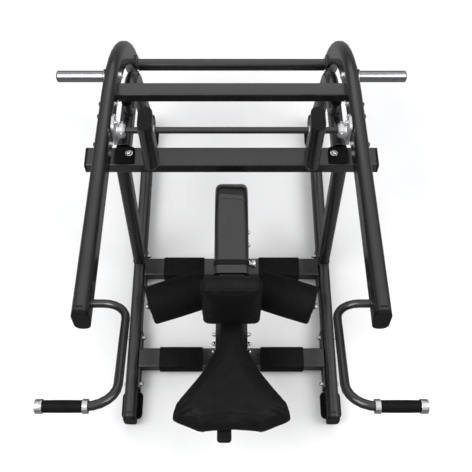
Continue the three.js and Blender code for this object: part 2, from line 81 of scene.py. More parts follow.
# ---------------------------------------------------------------- materials
class Shader:
    """A node material, with short calls for the nodes it is made of."""

    def __init__(self, name):
        self.material = bpy.data.materials.new(name)
        self.material.use_nodes = True
        self.tree = self.material.node_tree
        self.bsdf = self.tree.nodes["Principled BSDF"]
        self.coords = self.add("ShaderNodeTexCoord").outputs["Object"]

    def add(self, kind, **settings):
        node = self.tree.nodes.new(kind)
        for key, value in settings.items():
            setattr(node, key, value)
        return node

    def link(self, source, target):
        self.tree.links.new(source, target)

    def stretched(self, factors):
        mapping = self.add("ShaderNodeMapping")
        mapping.inputs["Scale"].default_value = factors
        self.link(self.coords, mapping.inputs["Vector"])
        return mapping.outputs["Vector"]

    def noise(self, size, detail=3.0, coords=None):
        node = self.add("ShaderNodeTexNoise")
        node.inputs["Scale"].default_value = 1 / size
        node.inputs["Detail"].default_value = detail
        self.link(coords or self.coords, node.inputs["Vector"])
        return node.outputs["Fac"]

    def cells(self, size, feature="F1"):
        node = self.add("ShaderNodeTexVoronoi", feature=feature)
        node.inputs["Scale"].default_value = 1 / size
        self.link(self.coords, node.inputs["Vector"])
        return node.outputs["Distance"]

    def spread(self, value, low, high, start=0.3, end=0.7):
        """Maps value from start..end to low..high."""
        node = self.add("ShaderNodeMapRange")
        for key, number in (("From Min", start), ("From Max", end), ("To Min", low), ("To Max", high)):
            node.inputs[key].default_value = number
        self.link(value, node.inputs["Value"])
        return node.outputs["Result"]

    def mix(self, factor, first, second):
        node = self.add("ShaderNodeMix", data_type="RGBA")
        self.link(factor, node.inputs["Factor"])
        for socket, colour in ((node.inputs[6], first), (node.inputs[7], second)):
            if isinstance(colour, tuple):
                socket.default_value = (*colour, 1)
            else:
                self.link(colour, socket)
        return node.outputs[2]

    def sum(self, first, second, operation="ADD"):
        node = self.add("ShaderNodeMath", operation=operation)
        for socket, value in ((node.inputs[0], first), (node.inputs[1], second)):
            if isinstance(value, (int, float)):
                socket.default_value = value
            else:
                self.link(value, socket)
        return node.outputs["Value"]

    def edges(self, radius):
        """1 on an edge that wear would reach, 0 on a flat face."""
        bevel = self.add("ShaderNodeBevel", samples=4)
        bevel.inputs["Radius"].default_value = radius
        flat = self.add("ShaderNodeNewGeometry").outputs["Normal"]
        dot = self.add("ShaderNodeVectorMath", operation="DOT_PRODUCT")
        self.link(bevel.outputs["Normal"], dot.inputs[0])
        self.link(flat, dot.inputs[1])
        return self.spread(dot.outputs["Value"], 1, 0, 0.86, 0.99)

    def finish(self, colour, roughness, bump=None, depth=0.0, metallic=0.0, coat=0.0, shine=0.5):
        for name, value in (("Base Color", colour), ("Roughness", roughness)):
            if isinstance(value, tuple):
                self.bsdf.inputs[name].default_value = (*value, 1)
            elif isinstance(value, float):
                self.bsdf.inputs[name].default_value = value
            else:
                self.link(value, self.bsdf.inputs[name])
        self.bsdf.inputs["Metallic"].default_value = metallic
        self.bsdf.inputs["Specular IOR Level"].default_value = shine
        self.bsdf.inputs["Coat Weight"].default_value = coat
        self.bsdf.inputs["Coat Roughness"].default_value = 0.12
        if bump is not None:
            node = self.add("ShaderNodeBump")
            node.inputs["Distance"].default_value = depth
            node.inputs["Strength"].default_value = 1.0
            self.link(bump, node.inputs["Height"])
            self.link(node.outputs["Normal"], self.bsdf.inputs["Normal"])
        return self.material


def powder_coat():
    s = Shader("black_powder_coat")
    dust = s.spread(s.noise(0.09, 4), 0, 1)
    base = s.mix(dust, (0.0065, 0.0065, 0.007), (0.0095, 0.0095, 0.01))
    worn = s.sum(s.edges(0.9 * MM), s.spread(s.noise(9 * MM), 0, 0.45, 0.5, 0.7), "MULTIPLY")
    colour = s.mix(worn, base, (0.035, 0.035, 0.037))
    rough = s.spread(s.noise(0.05, 4), 0.2, 0.29)
    return s.finish(colour, rough, s.noise(1.6 * MM, 1), 0.008 * MM, coat=0.3, shine=0.62)


def chrome_plate(name="polished_chrome", dark=(0.62, 0.62, 0.63), light=(0.8, 0.8, 0.81)):
    s = Shader(name)
    brushed = s.noise(0.7 * MM, 2, s.stretched((1, 12, 12)))
    rough = s.spread(s.sum(brushed, s.noise(0.02), "MULTIPLY"), 0.07, 0.22, 0.1, 0.4)
    colour = s.mix(s.spread(s.noise(0.015), 0, 1), dark, light)
    return s.finish(colour, rough, brushed, 0.006 * MM, metallic=1.0)


def zinc_plate():
    s = Shader("zinc_plate")
    spangle = s.cells(2.2 * MM)
    colour = s.mix(s.spread(spangle, 0, 1, 0.1, 0.8), (0.78, 0.78, 0.79), (0.55, 0.55, 0.57))
    rough = s.spread(s.noise(4 * MM), 0.28, 0.45)
    return s.finish(colour, rough, s.noise(0.8 * MM), 0.05 * MM, metallic=0.85)


def vinyl():
    s = Shader("black_vinyl")
    pebbles = s.cells(1.5 * MM)
    creases = s.cells(3.4 * MM, "DISTANCE_TO_EDGE")
    grain = s.sum(s.sum(pebbles, -0.5, "MULTIPLY"), s.spread(creases, -0.6, 0, 0, 0.12), "ADD")
    tone = s.spread(s.noise(0.05, 4), 0, 1)
    colour = s.mix(tone, (0.0042, 0.0042, 0.0044), (0.0068, 0.0068, 0.007))
    rough = s.spread(s.sum(pebbles, s.noise(0.06), "MULTIPLY"), 0.4, 0.58, 0.05, 0.4)
    return s.finish(colour, rough, grain, 0.14 * MM, shine=0.12)


def foam():
    s = Shader("closed_cell_foam")
    pores = s.cells(0.9 * MM)
    colour = s.mix(s.spread(s.noise(0.03, 4), 0, 1), (0.0032, 0.0032, 0.0034), (0.0052, 0.0052, 0.0054))
    rough = s.spread(s.noise(0.01), 0.55, 0.75)
    return s.finish(colour, rough, s.sum(pores, s.noise(3 * MM), "ADD"), 0.16 * MM, shine=0.12)


def rubber(name, pattern_size, depth):
    s = Shader(name)
    colour = s.mix(s.spread(s.noise(0.02, 4), 0, 1), (0.0035, 0.0035, 0.0038), (0.0062, 0.0062, 0.0066))
    rough = s.spread(s.noise(5 * MM), 0.5, 0.7)
    return s.finish(colour, rough, s.noise(pattern_size, 3), depth, shine=0.09)


def plastic():
    s = Shader("moulded_plastic")
    spark = s.noise(0.45 * MM, 2)
    colour = s.mix(s.spread(s.noise(0.03, 3), 0, 1), (0.0045, 0.0045, 0.0047), (0.007, 0.007, 0.0072))
    return s.finish(colour, s.spread(spark, 0.42, 0.56), spark, 0.05 * MM, shine=0.14)


PAINT = powder_coat()
CHROME = chrome_plate()
HORN_STEEL = chrome_plate("ground_steel", (0.3, 0.3, 0.305), (0.4, 0.4, 0.405))
ZINC = zinc_plate()
VINYL = vinyl()
FOAM = foam()
SLEEVE = rubber("foot_sleeve_rubber", 0.9 * MM, 0.12 * MM)
GRIP = rubber("grip_rubber", 0.6 * MM, 0.1 * MM)
PLASTIC = plastic()
SLOT_LOOK = {
    "black_paint": PAINT, "rubber": SLEEVE, "plastic_caps": PLASTIC, "chrome": CHROME,
    "zinc": ZINC, "upholstery": VINYL, "foam": FOAM,
}


# ---------------------------------------------------------------- mesh helpers
def make(name, bm, body, look, sharp=38):
    """A riding piece from a bmesh, smooth except at edges sharper than sharp degrees."""
    bmesh.ops.recalc_face_normals(bm, faces=bm.faces[:])
    mesh = bpy.data.meshes.new(name)
    bm.to_mesh(mesh)
    bm.free()
    mesh.polygons.foreach_set("use_smooth", [True] * len(mesh.polygons))
    mesh.set_sharp_from_angle(angle=math.radians(sharp))
    mesh.materials.append(look)
    obj = bpy.data.objects.new(name, mesh)
    bpy.context.scene.collection.objects.link(obj)
    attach(obj, body)
    return obj


def skin(bm, rings, closed=False):
    """Joins rings of points, each with the same count, into a surface with filled ends."""
    made = [[bm.verts.new(p) for p in ring] for ring in rings]
    pairs = list(zip(made, made[1:] + made[:1])) if closed else list(zip(made, made[1:]))
    for a, b in pairs:
        for i in range(len(a)):
            j = (i + 1) % len(a)
            bm.faces.new((a[i], a[j], b[j], b[i]))
    if not closed:
        bm.faces.new(reversed(made[0]))
        bm.faces.new(made[-1])


def across(axis):
    """Two unit vectors square to axis."""
    side = Z if abs(axis.z) < 0.8 else X
    first = axis.cross(side).normalized()
    return first, axis.cross(first).normalized()


def turned(bm, profile, origin, axis, segments=40, closed=False):
    """A turned shape: profile holds (radius, distance along axis) in millimetres."""
    axis = axis.normalized()
    u, v = across(axis)
    rings = []
    for radius, along in profile:
        reach = max(radius, 0.01) * MM
        centre = origin + axis * along * MM
        angles = [2 * math.pi * i / segments for i in range(segments)]
        rings.append([centre + (u * math.cos(a) + v * math.sin(a)) * reach for a in angles])
    skin(bm, rings, closed)


def tube_along(bm, points, radius, segments=10, closed=False):
    """A round cord through points. radius is a number or a function of the point's index."""
    size = radius if callable(radius) else (lambda i: radius)
    count = len(points)
    rings, carried = [], None
    for i, here in enumerate(points):
        if closed:
            tangent = (points[(i + 1) % count] - points[i - 1]).normalized()
        else:
            tangent = (points[min(i + 1, count - 1)] - points[max(i - 1, 0)]).normalized()
        if carried is None:
            carried = across(tangent)[0]
        carried = (carried - tangent * carried.dot(tangent)).normalized()
        other = tangent.cross(carried)
        angles = [2 * math.pi * k / segments for k in range(segments)]
        rings.append([here + (carried * math.cos(a) + other * math.sin(a)) * size(i) for a in angles])
    skin(bm, rings, closed)


def rounded_loop(centre, u, v, width, height, radius, corner=6):
    """Points round a rectangle with rounded corners, in the plane of u and v."""
    points = []
    w, h = width / 2 - radius, height / 2 - radius
    for quarter, (sx, sy) in enumerate(((1, 1), (-1, 1), (-1, -1), (1, -1))):
        for k in range(corner + 1):
            a = math.pi / 2 * (quarter + k / corner)
            over, up = sx * w + radius * math.cos(a), sy * h + radius * math.sin(a)
            points.append(centre + u * over + v * up)
    return points


def plate(bm, centre, u, v, width, height, radius, thick, edge=0.0012):
    """A flat plate with rounded corners and eased edges, centred on centre."""
    axis = u.cross(v).normalized()
    rings = []
    half = thick / 2
    for depth, inset in ((-half, edge), (-half + edge, 0), (half - edge, 0), (half, edge)):
        middle = centre + axis * depth
        corner = max(radius - inset, 0.0005)
        rings.append(rounded_loop(middle, u, v, width - 2 * inset, height - 2 * inset, corner))
    skin(bm, rings)


def resample(points, spacing, closed=True):
    """Evenly spaced points along a polyline."""
    loop = points + points[:1] if closed else points
    lengths = [(b - a).length for a, b in zip(loop, loop[1:])]
    total = sum(lengths)
    count = max(int(total / spacing), 8)
    out, segment, passed = [], 0, 0.0
    for i in range(count):
        target = total * i / count
        while passed + lengths[segment] < target:
            passed += lengths[segment]
            segment += 1
        share = (target - passed) / max(lengths[segment], 1e-9)
        out.append(loop[segment].lerp(loop[segment + 1], share))
    return out


def weld(name, loop, body, size=2.6 * MM, closed=True):
    """A rippled weld bead along a joint."""
    bm = bmesh.new()
    points = resample(loop, 2.4 * MM, closed)
    tube_along(bm, points, lambda i: size * (1 + 0.13 * math.sin(i * 1.9)), 8, closed)
    make(name, bm, body, PAINT, 80)


def bolt(name, centre, axis, body, radius=9.0, look=None, washer=True):
    """A socket button-head bolt on a washer, standing out from centre along axis. radius is in mm."""
    bm = bmesh.new()
    r = radius
    if washer:
        turned(bm, [(r * 1.35, -0.4), (r * 1.35, 1.3), (r * 1.28, 1.8), (r * 0.9, 1.8)], centre, axis, 28)
    head = [(r * 0.96, 1.4), (r, 2.0), (r, r * 0.42), (r * 0.93, r * 0.6)]
    head += [(r * 0.78, r * 0.76), (r * 0.55, r * 0.86)]
    socket = [(r * 0.5, r * 0.86), (r * 0.46, r * 0.8), (r * 0.44, r * 0.4)]
    turned(bm, head + socket, centre, axis, 24)
    return make(name, bm, body, look or CHROME)


def nut(name, centre, axis, body, radius=10.0, height=9.0):
    """A hexagon nut with chamfered corners on a washer, and the bolt's end through it."""
    bm = bmesh.new()
    r = radius
    washer = [(r * 1.45, -0.3), (r * 1.45, 1.6), (r * 1.38, 2.0), (r, 2.0)]
    turned(bm, washer, centre, axis, 28)
    hexagon = [(r, 1.8), (r * 1.13, 2.6), (r * 1.13, height - 0.8), (r, height)]
    turned(bm, hexagon, centre, axis, 6)
    thread = [(r * 0.55, height - 1), (r * 0.55, height + 3), (r * 0.45, height + 4)]
    turned(bm, thread, centre, axis, 20)
    return make(name, bm, body, CHROME, 25)


def acorn(name, centre, axis, body, radius=10.0):
    """A domed hexagon nut on a washer, seated on centre."""
    bm = bmesh.new()
    r = radius
    washer = [(r * 1.4, -0.3), (r * 1.4, 1.6), (r * 1.32, 2.1), (r * 0.9, 2.1)]
    turned(bm, washer, centre, axis, 32)
    hexagon = [(r, 1.9), (r * 1.14, 2.8), (r * 1.14, 9.4), (r * 0.98, 10.4)]
    turned(bm, hexagon, centre, axis, 6)
    dome = [(r * 0.9, 10.2)]
    for k in range(1, 8):
        a = math.pi / 2 * k / 8
        dome.append((r * 0.9 * math.cos(a), 10.4 + r * 0.85 * math.sin(a)))
    turned(bm, dome + [(0.01, 10.4 + r * 0.85)], centre, axis, 28)
    return make(name, bm, body, CHROME, 25)


# ---------------------------------------------------------------- CAD nodes that keep their shape
def dress_cad_nodes():
    """Gives each CAD node its material, eased edges and smooth shading."""
    slots = {row["node"]: row["material_slot"] for row in frame["record"]["subparts"]}
    for name, obj in nodes.items():
        obj.data.materials.clear()
        obj.data.materials.append(SLOT_LOOK[slots[name]])
        obj.data.polygons.foreach_set("use_smooth", [True] * len(obj.data.polygons))
        weld_points = obj.modifiers.new("merge", "WELD")
        weld_points.merge_threshold = 0.00002
        eased = obj.modifiers.new("eased_edges", "BEVEL")
        eased.width = 0.0011
        eased.segments = 2
        eased.limit_method = "ANGLE"
        eased.angle_limit = math.radians(48)
        eased.use_clamp_overlap = True
        normals = obj.modifiers.new("even_normals", "WEIGHTED_NORMAL")
        normals.weight = 90


# ---------------------------------------------------------------- soft goods
def inflate(obj, pinned, cap, frames=20, pressure=4.0, voxel=0.005):
    """Swells a closed form as stuffed fabric does. pinned(co) tells which points stay on their board."""
    scene = bpy.context.scene
    remesh = obj.modifiers.new("remesh", "REMESH")
    remesh.mode = "VOXEL"
    remesh.voxel_size = voxel
    apply_all(obj)
    before = [v.co.copy() for v in obj.data.vertices]
    group = obj.vertex_groups.new(name="board")
    group.add([i for i, co in enumerate(before) if pinned(co)], 1.0, "REPLACE")
    cloth = obj.modifiers.new("cloth", "CLOTH")
    cloth.settings.use_pressure = True
    cloth.settings.uniform_pressure_force = pressure
    cloth.settings.vertex_group_mass = "board"
    cloth.settings.effector_weights.gravity = 0
    cloth.settings.quality = 4
    cloth.point_cache.frame_start = 1
    cloth.point_cache.frame_end = frames
    for number in range(1, frames + 1):
        scene.frame_set(number)
    apply_all(obj)
    for vertex, start in zip(obj.data.vertices, before):
        move = vertex.co - start
        if move.length > cap:
            vertex.co = start + move.normalized() * cap
    obj.vertex_groups.clear()
    smooth = obj.modifiers.new("even", "SMOOTH")
    smooth.factor = 0.5
    smooth.iterations = 6
    subdivide = obj.modifiers.new("subdivide", "SUBSURF")
    subdivide.levels = 1
    subdivide.render_levels = 1
    apply_all(obj)
    obj.data.polygons.foreach_set("use_smooth", [True] * len(obj.data.polygons))


def apply_all(obj):
    """Applies every modifier on obj."""
    graph = bpy.context.evaluated_depsgraph_get()
    graph.update()
    mesh = bpy.data.meshes.new_from_object(obj.evaluated_get(graph), depsgraph=graph)
    obj.modifiers.clear()
    obj.data = mesh


def surface_tree(obj):
    """A search tree over obj's skin."""
    points = [v.co for v in obj.data.vertices]
    faces = [tuple(p.vertices) for p in obj.data.polygons]
    return BVHTree.FromPolygons(points, faces)


def piping(name, obj, loop, body, radius=2.0 * MM, sink=0.4):
    """A sewn cord that follows obj's skin along loop."""
    tree = surface_tree(obj)
    snapped = []
    for point in resample(loop, 4 * MM):
        place, normal, _, _ = tree.find_nearest(point)
        snapped.append(place - normal * radius * sink)
    bm = bmesh.new()
    tube_along(bm, snapped, radius, 8, True)
    make(name, bm, body, VINYL, 80)


def stitches(name, obj, loop, body, length=3.6 * MM, gap=2.2 * MM):
    """Short thread stitches lying on obj's skin along loop."""
    tree = surface_tree(obj)
    bm = bmesh.new()
    points = resample(loop, length + gap)
    for here, after in zip(points, points[1:] + points[:1]):
        heading = (after - here).normalized()
        ends = []
        for share in (0.0, 0.5, 1.0):
            place, normal, _, _ = tree.find_nearest(here + heading * length * share)
            lift = 0.35 * MM if share == 0.5 else -0.2 * MM
            ends.append(place + normal * lift)
        tube_along(bm, ends, 0.45 * MM, 5)
    make(name, bm, body, GRIP, 80)


def chest_pad():
    low, high, middle = box_of("chest_pad")
    size = high - low
    start = 4 * MM
    bm = bmesh.new()
    board = high.y - PAD_BOARD
    rings = []
    steps = [(board, 3), (board - 8 * MM, 0), (low.y + 26 * MM, 0)]
    steps += [(low.y + 14 * MM, 0.5), (low.y + 7 * MM, 3), (low.y + 4 * MM, 8)]
    for y, inset in steps:
        centre = Vector((middle.x, y, middle.z))
        shrink = 2 * (start + inset * MM)
        rings.append(rounded_loop(centre, X, Z, size.x - shrink, size.z - shrink, 26 * MM, 6))
    skin(bm, rings)
    pad = make("chest_pad_cover", bm, "pad_carriage", VINYL)
    inflate(pad, lambda co: co.y > board - 4 * MM, 7 * MM, pressure=2.6)
    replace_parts(pad, "chest_pad")

    def outline(y, grow, radius):
        """The pad's outline at depth y, wider and taller by grow mm in all."""
        centre = Vector((middle.x, y, middle.z))
        return rounded_loop(centre, X, Z, size.x + grow * MM, size.z + grow * MM, radius * MM)

    piping("chest_pad_rear_piping", pad, outline(board - 3 * MM, 20, 30), "pad_carriage", 2.6 * MM, 0.2)
    piping("chest_pad_front_piping", pad, outline(low.y + 18 * MM, -10, 34), "pad_carriage", 2.2 * MM, 0.2)
    stitches("chest_pad_stitches", pad, outline(low.y, -56, 26), "pad_carriage")
    bm = bmesh.new()
    behind = Vector((middle.x, (board + high.y) / 2, middle.z))
    plate(bm, behind, X, Z, size.x - 30 * MM, size.z - 30 * MM, 22 * MM, high.y - board)
    make("chest_pad_board", bm, "pad_carriage", PLASTIC)


def outline_of(node):
    """The ordered loop of points round the top of an upright CAD form, turning left."""
    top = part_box(node)[1].z
    mesh = nodes[node].data
    links = {}
    for face in mesh.polygons:
        if abs(face.normal.z) > 0.5:
            continue
        for pair in face.edge_keys:
            ends = [mesh.vertices[i].co for i in pair]
            if all(co.z > top - 0.1 * MM for co in ends):
                a, b = [(round(co.x, 5), round(co.y, 5)) for co in ends]
                links.setdefault(a, []).append(b)
                links.setdefault(b, []).append(a)
    here = min(links)
    loop, before = [], None
    while here is not None and here not in loop:
        loop.append(here)
        onward = [p for p in links[here] if p != before and p not in loop]
        before, here = here, (onward[0] if onward else None)
    points = [Vector((x, y, 0)) for x, y in loop]
    area = sum(a.x * b.y - b.x * a.y for a, b in zip(points, points[1:] + points[:1]))
    return points if area > 0 else points[::-1]


def saddle():
    low, high, _ = box_of("saddle")
    loop = resample(outline_of("saddle"), 6 * MM)
    count = len(loop)
    swell = 5 * MM
    outward = []
    for i in range(count):
        along = (loop[(i + 2) % count] - loop[i - 2]).normalized()
        outward.append(Vector((along.y, -along.x, 0)))

    def ring(inset, z):
        """The outline drawn in by inset, less on the narrow neck."""
        points = []
        for co, normal in zip(loop, outward):
            share = max(min(1.0, abs(co.x) / 0.095), abs(normal.y) ** 3)
            depth = swell + inset * (share if inset > 6 * MM else 1.0)
            points.append(Vector((co.x, co.y, z)) - normal * depth)
        return points

    board = low.z + SADDLE_HELD
    bm = bmesh.new()
    steps = ((3, 7), (8, 2), (30, 0), (44, 1), (52, 5), (58, 12), (66, 26), (71, 36), (74, 44))
    skin(bm, [ring(inset * MM, low.z + up * MM) for up, inset in steps])
    cover = make("saddle_cover", bm, "seat_slide", VINYL)
    inflate(cover, lambda co: co.z < board, 8 * MM, pressure=3.0)
    length = high.y - low.y
    for vertex in cover.data.vertices:
        co = vertex.co
        rise = max(0.0, min(1.0, (co.z - low.z - 50 * MM) / (20 * MM)))
        back = (high.y - co.y) / length
        middle_only = math.exp(-((co.x / 0.075) ** 2))
        dish = -7 * MM * math.sin(math.pi * min(1.0, max(0.0, back - 0.15) / 0.75)) * middle_only
        wing = 5 * MM * min(1.0, abs(co.x) / 0.2) ** 2 * back
        neck = 3 * MM * (1 - back) ** 2
        co.z += rise * (dish + wing + neck)
    cover.data.update()
    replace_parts(cover, "saddle")
    piping("saddle_base_piping", cover, ring(-swell - 2 * MM, board), "seat_slide", 2.4 * MM, 0.2)
    top = high.z + 30 * MM
    piping("saddle_panel_seam", cover, ring(38 * MM - swell, top), "seat_slide", 1.9 * MM, 0.25)
    stitches("saddle_stitches", cover, ring(46 * MM - swell, top), "seat_slide")
    bm = bmesh.new()
    base = ring(9 * MM, low.z + 1 * MM)
    skin(bm, [base, [p + Z * 8 * MM for p in base]])
    make("saddle_base_board", bm, "seat_slide", PLASTIC)


def thigh_rollers():
    for _, label in SIDES:
        joint = joints[f"roller_{label}_spin"]
        root, axis = Vector(joint["pos_m"]), Vector(joint["axis"]).normalized()
        arms = [v.co - root for v in nodes[f"thigh_roller_{label}"].data.vertices]
        reach = [arm.dot(axis) for arm in arms]
        offsets = [(arm - axis * arm.dot(axis)).length for arm in arms]
        start, end = min(reach) / MM, max(reach) / MM
        radius, bore = max(offsets) / MM, AXLE_BORE
        length = end - start
        edge, crown = ROLLER_EDGE, ROLLER_CROWN
        bm = bmesh.new()
        profile = [(bore, start + 1.5), (radius - 20, start + 0.5)]
        for k in range(9):
            a = math.pi / 2 * k / 8
            profile.append((radius - edge + edge * math.sin(a) - crown, start + edge - edge * math.cos(a)))
        for k in range(1, 16):
            share = k / 16
            full = radius - crown + crown * math.sin(math.pi * share)
            profile.append((full, start + edge + (length - 2 * edge) * share))
        for k in range(9):
            a = math.pi / 2 * k / 8
            profile.append((radius - edge + edge * math.cos(a) - crown, end - edge + edge * math.sin(a)))
        profile += [(radius - 20, end - 0.5), (bore, end - 1.5)]
        turned(bm, profile, root, axis, 72, closed=True)
        cover = make(f"thigh_roller_cover_{label}", bm, f"roller_{label}", FOAM, 60)
        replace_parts(cover, f"thigh_roller_{label}")
        for place, along in (("inner", start + 9), ("outer", end - 9)):
            bm = bmesh.new()
            ring = radius - 2.6
            cord = [(ring, along - 1.4), (ring + 1.6, along - 1), (ring + 1.9, along)]
            cord += [(ring + 1.6, along + 1), (ring, along + 1.4), (ring - 3, along)]
            turned(bm, cord, root, axis, 72, closed=True)
            make(f"thigh_roller_piping_{place}_{label}", bm, f"roller_{label}", VINYL, 80)
        bm = bmesh.new()
        disc = [(bore + 0.3, end - 1), (34, end - 1), (34, end + 1.5)]
        disc += [(31, end + 3), (bore + 2, end + 3.4), (bore + 0.3, end + 3)]
        turned(bm, disc, root, axis, 48, closed=True)
        make(f"thigh_roller_disc_{label}", bm, f"roller_{label}", PLASTIC)
        bolt(f"thigh_roller_bolt_{label}", root + axis * (end + 8.2) * MM, axis, "frame", 10)


# ---------------------------------------------------------------- hard pieces rebuilt finer
def foot_sleeves():
    for place in ("front", "rear"):
        for _, label in SIDES:
            node = f"foot_sleeve_{place}_{label}"
            low, high, middle = box_of(node)
            size = high - low
            rings = []
            for x, inset in ((0, 3.2), (0.8, 1.6), (2.4, 0.5), (5, 0), (8, 0), (8.8, 0.5), (9.6, 0)):
                rings.append((low.x + x * MM, inset * MM))
            rings += [(high.x - (x - low.x), inset) for x, inset in reversed(rings)]
            bm = bmesh.new()
            loops = []
            for x, inset in rings:
                centre = Vector((x, middle.y, middle.z))
                loops.append(rounded_loop(centre, Y, Z, size.y - 2 * inset, size.z - 2 * inset, 15 * MM, 7))
            for x in (high.x, low.x):
                centre = Vector((x, middle.y, middle.z))
                loops.append(rounded_loop(centre, Y, Z, size.y - 11 * MM, size.z - 11 * MM, 10 * MM, 7))
            skin(bm, loops, closed=True)
            sleeve = make(f"{node}_cover", bm, "frame", SLEEVE, 50)
            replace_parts(sleeve, node)


def rubber_feet():
    for place in ("front", "rear"):
        for _, label in SIDES:
            node = f"foot_{place}_{label}"
            low, high, middle = box_of(node)
            size = high - low
            bm = bmesh.new()
            plate(bm, middle, X, Y, size.x, size.y, 24 * MM, size.z - 0.4 * MM, 2.5 * MM)
            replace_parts(make(f"{node}_pad", bm, "frame", SLEEVE), node)


def plug_tabs():
    """The snap tab of each moulded end plug, showing in its slot on top of the tube."""
    for _, label in SIDES:
        for name, body, back in (("rail", "frame", 0.02), ("arm", "lever", 0.022)):
            low, _, middle = box_of(f"{name}_{label}")
            points = [v.co for v in nodes[f"{name}_{label}"].data.vertices]
            top = max(co.z for co in points if co.y < low.y + 0.012)
            bm = bmesh.new()
            spot = Vector((middle.x, low.y + back, top))
            plate(bm, spot, X, Y, 26 * MM, 5 * MM, 2 * MM, 1.2 * MM, 0.4 * MM)
            make(f"{name}_plug_tab_{label}", bm, body, PLASTIC)


def grips():
    for side, label in SIDES:
        low, high, middle = box_of(f"grip_{label}")
        axis = X * side
        origin = Vector((low.x if side > 0 else high.x, middle.y, middle.z))
        length, radius = (high.x - low.x) / MM, (high.z - low.z) / 2 / MM
        bm = bmesh.new()
        profile = [(GRIP_BORE, 0.2), (radius - 1.4, 0.2), (radius - 0.3, 1.2)]
        rings = 40
        for k in range(rings + 1):
            along = 2 + (length - 4) * k / rings
            belly = 0.5 * math.sin(math.pi * k / rings)
            profile.append((radius - 0.5 + belly - 0.12 * (k % 2), along))
        profile += [(radius - 0.3, length - 1.2), (radius - 1.4, length - 0.2), (GRIP_BORE, length - 0.2)]
        turned(bm, profile, origin, axis, 56, closed=True)
        cover = make(f"grip_sleeve_{label}", bm, "lever", GRIP, 60)
        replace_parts(cover, f"grip_{label}")
        bm = bmesh.new()
        ring = [(FERRULE_BORE, -17.5), (21, -17.5), (22, -16.5), (22, -12), (21.2, -11.4)]
        ring += [(21.2, -10.6), (22, -10), (22, -1.5), (21, -0.5), (FERRULE_BORE, -0.5)]
        turned(bm, ring, origin, axis, 56, closed=True)
        make(f"grip_ring_{label}", bm, "lever", CHROME)
        bm = bmesh.new()
        start = length + 0.3
        cup = [(FERRULE_BORE, start), (21, start), (22, start + 1), (22, start + 5)]
        cup += [(21.2, start + 5.6), (21.2, start + 6.4), (22, start + 7)]
        cup += [(22, start + 19.6), (21.4, start + 21.4), (19.8, start + 22.4)]
        cup += [(12, start + 22.7), (11, start + 22.2), (6, start + 22.2)]
        turned(bm, cup, origin, axis, 56)
        cap = make(f"grip_end_{label}", bm, "lever", CHROME, 50)
        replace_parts(cap, f"grip_cap_{label}")


def plate_horns():
    for side, label in SIDES:
        low, high, middle = box_of(f"plate_horn_{label}")
        axis = X * side
        origin = Vector((low.x if side > 0 else high.x, middle.y, middle.z))
        length = (high.x - low.x) / MM
        bm = bmesh.new()
        flange = [(32, 0), (32, 4.6), (31, 6), (27, 6.4), (25.4, 7.4), (25, 9)]
        tip = [(25, length - 5), (24.4, length - 2.4), (22.6, length - 0.6), (20, length), (10, length)]
        turned(bm, flange + tip, origin, axis, 56)
        horn = make(f"plate_horn_sleeve_{label}", bm, "lever", HORN_STEEL, 50)
        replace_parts(horn, f"plate_horn_{label}")
        bm = bmesh.new()
        plug = [(19.6, length - 0.5), (19.6, length + 1.2), (18.4, length + 2), (8, length + 2.2)]
        turned(bm, plug, origin, axis, 40)
        make(f"plate_horn_plug_{label}", bm, "lever", PLASTIC)
        arm_low, arm_high, _ = box_of(f"arm_{label}")
        inner = arm_high.x if side < 0 else arm_low.x
        nut(f"plate_horn_nut_{label}", Vector((inner, middle.y, middle.z)), -axis, "lever", 15, 12)


def hubs():
    """Plated hubs that clamp the shaft to the arms, with the bolts that go through each arm."""
    for side, label in SIDES:
        low, high, _ = box_of(f"arm_hub_{label}")
        face = high.x if side > 0 else low.x
        axis = X * -side
        seat = Vector((face, pivot.y, pivot.z))
        bm = bmesh.new()
        plate(bm, seat + axis * 7 * MM, Y, Z, 76 * MM, 130 * MM, 22 * MM, 14 * MM, 2 * MM)
        profile = [(HUB_BORE, 12), (46, 12), (40, 15), (35, 19), (33, 24), (32.4, 32), (32.4, 44)]
        profile += [(32, 46), (29, 47.5), (27, 47.5), (26.4, 46), (26, 51), (24.6, 52), (HUB_BORE, 52)]
        turned(bm, profile, seat, axis, 48, closed=True)
        for lift in HUB_BOLT_LIFTS:
            boss = Vector((face, pivot.y, pivot.z + lift * MM))
            turned(bm, [(12, 12), (12, 17), (10.4, 18.4), (2, 18.6)], boss, axis, 28)
        for lift in HUB_RIB_LIFTS:
            rib = Vector((face, pivot.y, pivot.z + lift * MM)) + axis * 22 * MM
            plate(bm, rib, X, Z, 22 * MM, 26 * MM, 5 * MM, 12 * MM, 2 * MM)
        hub = make(f"arm_hub_casting_{label}", bm, "lever", ZINC, 42)
        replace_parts(hub, f"arm_hub_{label}")
        for k, lift in enumerate(HUB_BOLT_LIFTS):
            spot = Vector((face, pivot.y, pivot.z + lift * MM)) + axis * 18 * MM
            bolt(f"hub_bolt_{label}_{k}", spot, axis, "lever", 9)
        for k, angle in enumerate((35, 155, 275)):
            spoke = Y * math.cos(math.radians(angle)) + Z * math.sin(math.radians(angle))
            place = seat + axis * 38 * MM + spoke * 32 * MM
            bolt(f"hub_set_screw_{label}_{k}", place, spoke, "lever", 6, washer=False)
        arm_low, arm_high, _ = box_of(f"arm_{label}")
        outer = arm_low.x if side < 0 else arm_high.x
        inner = arm_high.x if side < 0 else arm_low.x
        for k, along in enumerate(ARM_BOLT_PLACES):
            centre_z = pivot.z + (18 - ARM_SLOPE * along) * MM
            head = Vector((outer, pivot.y + along * MM, centre_z))
            bolt(f"arm_bolt_{label}_{k}", head, X * side, "lever", 10, PAINT)
            nut(f"arm_nut_{label}_{k}", Vector((inner, pivot.y + along * MM, centre_z)), axis, "lever", 9, 8)


